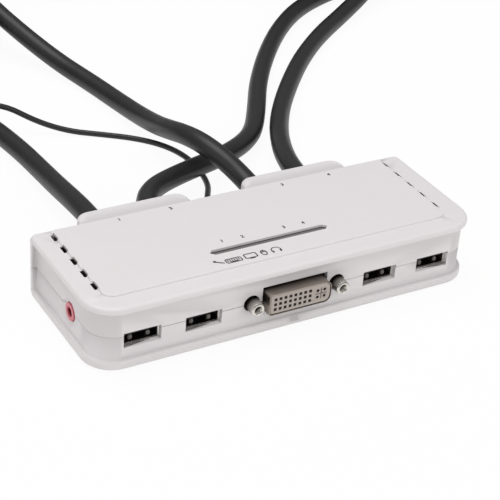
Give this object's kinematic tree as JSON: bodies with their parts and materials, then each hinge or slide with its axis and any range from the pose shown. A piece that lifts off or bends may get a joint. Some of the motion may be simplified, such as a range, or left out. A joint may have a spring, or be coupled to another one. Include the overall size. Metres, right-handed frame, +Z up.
{
  "type": "kvm switch",
  "caption": "White desktop KVM switch with monitor and USB sockets in front, captive black cables ending in monitor and USB plugs, and a corded remote selector button.",
  "frame": {"origin": "middle of the case's base, on the surface that its rubber feet stand on, midway between the front jackscrews' tips and the backs of the cable hoods", "axes": "+X to the right along the front, +Y towards the cables, +Z up"},
  "size_m": [0.3494, 0.3742, 0.0324],
  "materials": {
    "upper_shell": "fine satin moulding",
    "lower_shell": "fine satin moulding",
    "led_window": "smoked polycarbonate",
    "light_guides": "clear acrylic",
    "status_leds": "clear lens",
    "circuit_board": "solder mask",
    "board_parts": "moulded chips and cans",
    "case_screws": "zinc plated",
    "board_screws": "zinc plated",
    "rubber_feet": "matt",
    "usb_shell_1": "nickel plated, folded",
    "usb_shell_2": "nickel plated, folded",
    "usb_shell_3": "nickel plated, folded",
    "usb_shell_4": "nickel plated, folded",
    "usb_plug_shells": "nickel plated, folded",
    "usb_tongues": "moulded",
    "usb_contacts": "gold flashed",
    "dvi_contacts": "gold flashed",
    "dvi_plug_pins": "gold flashed",
    "dvi_shell": "satin nickel",
    "dvi_plug_shell_1": "satin nickel",
    "dvi_plug_shell_2": "satin nickel",
    "dvi_plug_shell_3": "satin nickel",
    "dvi_plug_shell_4": "satin nickel",
    "dvi_insulator": "moulded",
    "dvi_jackscrews": "nickel plated",
    "thumbscrew_1_left": "nickel plated",
    "thumbscrew_1_right": "nickel plated",
    "thumbscrew_2_left": "nickel plated",
    "thumbscrew_2_right": "nickel plated",
    "thumbscrew_3_left": "nickel plated",
    "thumbscrew_3_right": "nickel plated",
    "thumbscrew_4_left": "nickel plated",
    "thumbscrew_4_right": "nickel plated",
    "mic_jack_ring": "moulded pink",
    "headphone_jack_ring": "moulded green",
    "mic_jack": "moulded",
    "headphone_jack": "moulded",
    "strain_reliefs": "satin jacket",
    "cable_1": "satin jacket",
    "cable_2": "satin jacket",
    "cable_3": "satin jacket",
    "cable_4": "satin jacket",
    "cable_coil_1": "satin jacket",
    "cable_coil_2": "satin jacket",
    "cable_coil_3": "satin jacket",
    "cable_coil_4": "satin jacket",
    "usb_leads": "satin jacket",
    "remote_lead": "satin jacket",
    "remote_coil": "satin jacket",
    "dvi_plug_1": "overmoulded",
    "dvi_plug_2": "overmoulded",
    "dvi_plug_3": "overmoulded",
    "dvi_plug_4": "overmoulded",
    "usb_plugs": "overmoulded",
    "remote_base": "fine satin moulding",
    "remote_cover": "fine satin moulding",
    "remote_button": "moulded"
  },
  "bodies": {
    "switch": {"upper_shell": "upper_shell", "lower_shell": "lower_shell", "led_window": "led_window", "light_guides": "light_guides", "status_leds": "status_leds", "circuit_board": "circuit_board", "board_parts": "board_parts", "case_screws": "case_screws", "board_screws": "board_screws", "rubber_feet": "rubber_feet", "usb_shell_1": "usb_shell_1", "usb_shell_2": "usb_shell_2", "usb_shell_3": "usb_shell_3", "usb_shell_4": "usb_shell_4", "usb_tongues": "usb_tongues", "usb_contacts": "usb_contacts", "dvi_shell": "dvi_shell", "dvi_insulator": "dvi_insulator", "dvi_contacts": "dvi_contacts", "dvi_jackscrews": "dvi_jackscrews", "mic_jack_ring": "mic_jack_ring", "mic_jack": "mic_jack", "headphone_jack_ring": "headphone_jack_ring", "headphone_jack": "headphone_jack", "strain_reliefs": "strain_reliefs", "cable_1": "cable_1", "cable_2": "cable_2", "cable_3": "cable_3", "cable_4": "cable_4", "cable_coil_1": "cable_coil_1", "cable_coil_2": "cable_coil_2", "cable_coil_3": "cable_coil_3", "cable_coil_4": "cable_coil_4", "dvi_plug_1": "dvi_plug_1", "dvi_plug_2": "dvi_plug_2", "dvi_plug_3": "dvi_plug_3", "dvi_plug_4": "dvi_plug_4", "dvi_plug_shell_1": "dvi_plug_shell_1", "dvi_plug_shell_2": "dvi_plug_shell_2", "dvi_plug_shell_3": "dvi_plug_shell_3", "dvi_plug_shell_4": "dvi_plug_shell_4", "dvi_plug_pins": "dvi_plug_pins", "usb_leads": "usb_leads", "usb_plugs": "usb_plugs", "usb_plug_shells": "usb_plug_shells", "remote_lead": "remote_lead", "remote_coil": "remote_coil", "remote_base": "remote_base", "remote_cover": "remote_cover"},
    "thumbscrew_1_left": {"thumbscrew_1_left": "thumbscrew_1_left"},
    "thumbscrew_1_right": {"thumbscrew_1_right": "thumbscrew_1_right"},
    "thumbscrew_2_left": {"thumbscrew_2_left": "thumbscrew_2_left"},
    "thumbscrew_2_right": {"thumbscrew_2_right": "thumbscrew_2_right"},
    "thumbscrew_3_left": {"thumbscrew_3_left": "thumbscrew_3_left"},
    "thumbscrew_3_right": {"thumbscrew_3_right": "thumbscrew_3_right"},
    "thumbscrew_4_left": {"thumbscrew_4_left": "thumbscrew_4_left"},
    "thumbscrew_4_right": {"thumbscrew_4_right": "thumbscrew_4_right"},
    "remote_button": {"remote_button": "remote_button"}
  },
  "joints": [
    {"name": "thumbscrew_1_left_turn", "type": "hinge", "parent": "switch", "child": "thumbscrew_1_left", "pos_m": [-0.0845, 0.1783, 0.00775], "axis": [0, -1, 0], "continuous": true},
    {"name": "thumbscrew_1_right_turn", "type": "hinge", "parent": "switch", "child": "thumbscrew_1_right", "pos_m": [-0.1175, 0.1783, 0.00775], "axis": [0, -1, 0], "continuous": true},
    {"name": "thumbscrew_2_left_turn", "type": "hinge", "parent": "switch", "child": "thumbscrew_2_left", "pos_m": [0.1004, 0.306, 0.00775], "axis": [-1, 0, 0], "continuous": true},
    {"name": "thumbscrew_2_right_turn", "type": "hinge", "parent": "switch", "child": "thumbscrew_2_right", "pos_m": [0.1004, 0.339, 0.00775], "axis": [-1, 0, 0], "continuous": true},
    {"name": "thumbscrew_3_left_turn", "type": "hinge", "parent": "switch", "child": "thumbscrew_3_left", "pos_m": [0.047, 0.339, 0.00775], "axis": [1, 0, 0], "continuous": true},
    {"name": "thumbscrew_3_right_turn", "type": "hinge", "parent": "switch", "child": "thumbscrew_3_right", "pos_m": [0.047, 0.306, 0.00775], "axis": [1, 0, 0], "continuous": true},
    {"name": "thumbscrew_4_left_turn", "type": "hinge", "parent": "switch", "child": "thumbscrew_4_left", "pos_m": [0.0565, 0.2618, 0.00775], "axis": [-1, 0, 0], "continuous": true},
    {"name": "thumbscrew_4_right_turn", "type": "hinge", "parent": "switch", "child": "thumbscrew_4_right", "pos_m": [0.0565, 0.2948, 0.00775], "axis": [-1, 0, 0], "continuous": true},
    {"name": "remote_press", "type": "slide", "parent": "switch", "child": "remote_button", "axis": [0, 0, 1], "range_m": [-0.001, 0], "stiffness_N_per_m": 400}
  ]
}
